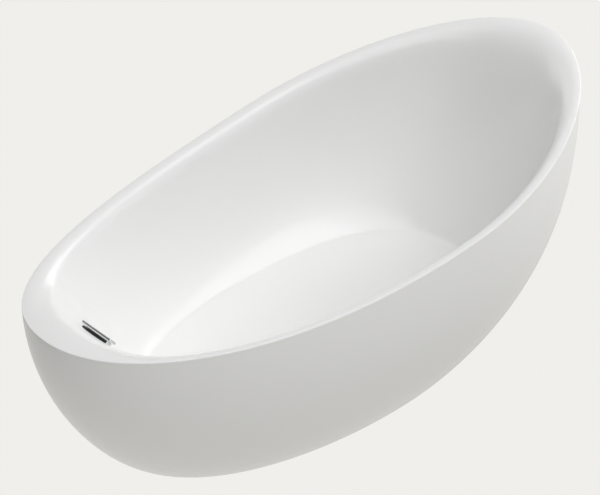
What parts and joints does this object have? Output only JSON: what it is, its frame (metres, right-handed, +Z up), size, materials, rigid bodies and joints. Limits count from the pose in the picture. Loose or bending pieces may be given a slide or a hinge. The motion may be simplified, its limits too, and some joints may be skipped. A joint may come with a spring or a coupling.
{
  "type": "freestanding bathtub",
  "caption": "Egg-shaped freestanding bathtub: seamless white skin, swooping rim that rises to a wide head end, chrome slot overflow, click waste and levelling feet.",
  "frame": {"origin": "on the floor, under the middle of the overall length and width", "axes": "+X towards the high wide head end, +Y across the tub, +Z up"},
  "size_m": [1.9, 0.93, 0.79],
  "materials": {
    "white_acrylic": "smooth white sanitary acrylic with a soft satin sheen",
    "bond_adhesive": "cured white structural adhesive",
    "fibre_board": "chipboard under a thin resin coat",
    "painted_steel": "dark powder coat",
    "zinc_steel": "bright zinc plate",
    "black_rubber": "moulded black rubber",
    "polished_chrome": "mirror-polished chrome plate",
    "plug_brass": "turned brass",
    "white_plastic": "moulded white polypropylene",
    "grey_plastic": "moulded grey polypropylene"
  },
  "bodies": {
    "bath": {"tub_shell": "white_acrylic", "outer_panel": "white_acrylic", "rim_bond": "bond_adhesive", "floor_board": "fibre_board", "rail_left": "painted_steel", "rail_right": "painted_steel", "waste_flange": "polished_chrome", "waste_gasket_upper": "black_rubber", "waste_gasket_lower": "black_rubber", "waste_body": "white_plastic", "trap_union_nut": "grey_plastic", "trap_body": "white_plastic", "trap_outlet_nut": "grey_plastic", "outlet_pipe": "grey_plastic", "overflow_bezel": "polished_chrome", "overflow_cover": "polished_chrome", "overflow_gasket": "black_rubber", "overflow_housing": "white_plastic", "overflow_screw_left": "zinc_steel", "overflow_screw_right": "zinc_steel", "overflow_hose": "grey_plastic", "hose_clamp_upper": "zinc_steel", "hose_clamp_lower": "zinc_steel", "cross_tube_foot": "painted_steel", "foot_lock_nut_foot_left": "zinc_steel", "foot_lock_nut_foot_right": "zinc_steel", "cross_tube_middle": "painted_steel", "foot_lock_nut_middle_left": "zinc_steel", "foot_lock_nut_middle_right": "zinc_steel", "cross_tube_head": "painted_steel", "foot_lock_nut_head_left": "zinc_steel", "foot_lock_nut_head_right": "zinc_steel", "panel_bracket_head_left": "zinc_steel", "bracket_screw_head_left": "zinc_steel", "panel_bracket_head_right": "zinc_steel", "bracket_screw_head_right": "zinc_steel", "panel_bracket_foot_left": "zinc_steel", "bracket_screw_foot_left": "zinc_steel", "panel_bracket_foot_right": "zinc_steel", "bracket_screw_foot_right": "zinc_steel"},
    "plug": {"plug_cap": "polished_chrome", "plug_seal": "black_rubber", "plug_stem": "plug_brass"},
    "pad_foot_left": {"foot_pad_foot_left": "black_rubber"},
    "spindle_foot_left": {"foot_spindle_foot_left": "zinc_steel"},
    "pad_foot_right": {"foot_pad_foot_right": "black_rubber"},
    "spindle_foot_right": {"foot_spindle_foot_right": "zinc_steel"},
    "pad_middle_left": {"foot_pad_middle_left": "black_rubber"},
    "spindle_middle_left": {"foot_spindle_middle_left": "zinc_steel"},
    "pad_middle_right": {"foot_pad_middle_right": "black_rubber"},
    "spindle_middle_right": {"foot_spindle_middle_right": "zinc_steel"},
    "pad_head_left": {"foot_pad_head_left": "black_rubber"},
    "spindle_head_left": {"foot_spindle_head_left": "zinc_steel"},
    "pad_head_right": {"foot_pad_head_right": "black_rubber"},
    "spindle_head_right": {"foot_spindle_head_right": "zinc_steel"}
  },
  "joints": [
    {"name": "plug_rise", "type": "slide", "parent": "bath", "child": "plug", "axis": [0, 0, 1], "range_m": [0, 0.01]},
    {"name": "foot_height_foot_left", "type": "slide", "parent": "bath", "child": "pad_foot_left", "axis": [0, 0, -1], "range_m": [-0.0035, 0.014]},
    {"name": "foot_turn_foot_left", "type": "hinge", "parent": "pad_foot_left", "child": "spindle_foot_left", "pos_m": [-0.32975, 0.17, 0.07], "axis": [0, 0, -1], "range_deg": [-725, 2885]},
    {"name": "foot_height_foot_right", "type": "slide", "parent": "bath", "child": "pad_foot_right", "axis": [0, 0, -1], "range_m": [-0.0035, 0.014]},
    {"name": "foot_turn_foot_right", "type": "hinge", "parent": "pad_foot_right", "child": "spindle_foot_right", "pos_m": [-0.32975, -0.17, 0.07], "axis": [0, 0, -1], "range_deg": [-725, 2885]},
    {"name": "foot_height_middle_left", "type": "slide", "parent": "bath", "child": "pad_middle_left", "axis": [0, 0, -1], "range_m": [-0.0035, 0.014]},
    {"name": "foot_turn_middle_left", "type": "hinge", "parent": "pad_middle_left", "child": "spindle_middle_left", "pos_m": [0.03427, 0.17, 0.07], "axis": [0, 0, -1], "range_deg": [-725, 2885]},
    {"name": "foot_height_middle_right", "type": "slide", "parent": "bath", "child": "pad_middle_right", "axis": [0, 0, -1], "range_m": [-0.0035, 0.014]},
    {"name": "foot_turn_middle_right", "type": "hinge", "parent": "pad_middle_right", "child": "spindle_middle_right", "pos_m": [0.03427, -0.17, 0.07], "axis": [0, 0, -1], "range_deg": [-725, 2885]},
    {"name": "foot_height_head_left", "type": "slide", "parent": "bath", "child": "pad_head_left", "axis": [0, 0, -1], "range_m": [-0.0035, 0.014]},
    {"name": "foot_turn_head_left", "type": "hinge", "parent": "pad_head_left", "child": "spindle_head_left", "pos_m": [0.3983, 0.17, 0.07], "axis": [0, 0, -1], "range_deg": [-725, 2885]},
    {"name": "foot_height_head_right", "type": "slide", "parent": "bath", "child": "pad_head_right", "axis": [0, 0, -1], "range_m": [-0.0035, 0.014]},
    {"name": "foot_turn_head_right", "type": "hinge", "parent": "pad_head_right", "child": "spindle_head_right", "pos_m": [0.3983, -0.17, 0.07], "axis": [0, 0, -1], "range_deg": [-725, 2885]}
  ],
  "couplings": [
    {"joint": "foot_turn_foot_left", "follows": "foot_height_foot_left", "rad_per_m": 3590.4},
    {"joint": "foot_turn_foot_right", "follows": "foot_height_foot_right", "rad_per_m": 3590.4},
    {"joint": "foot_turn_middle_left", "follows": "foot_height_middle_left", "rad_per_m": 3590.4},
    {"joint": "foot_turn_middle_right", "follows": "foot_height_middle_right", "rad_per_m": 3590.4},
    {"joint": "foot_turn_head_left", "follows": "foot_height_head_left", "rad_per_m": 3590.4},
    {"joint": "foot_turn_head_right", "follows": "foot_height_head_right", "rad_per_m": 3590.4}
  ]
}
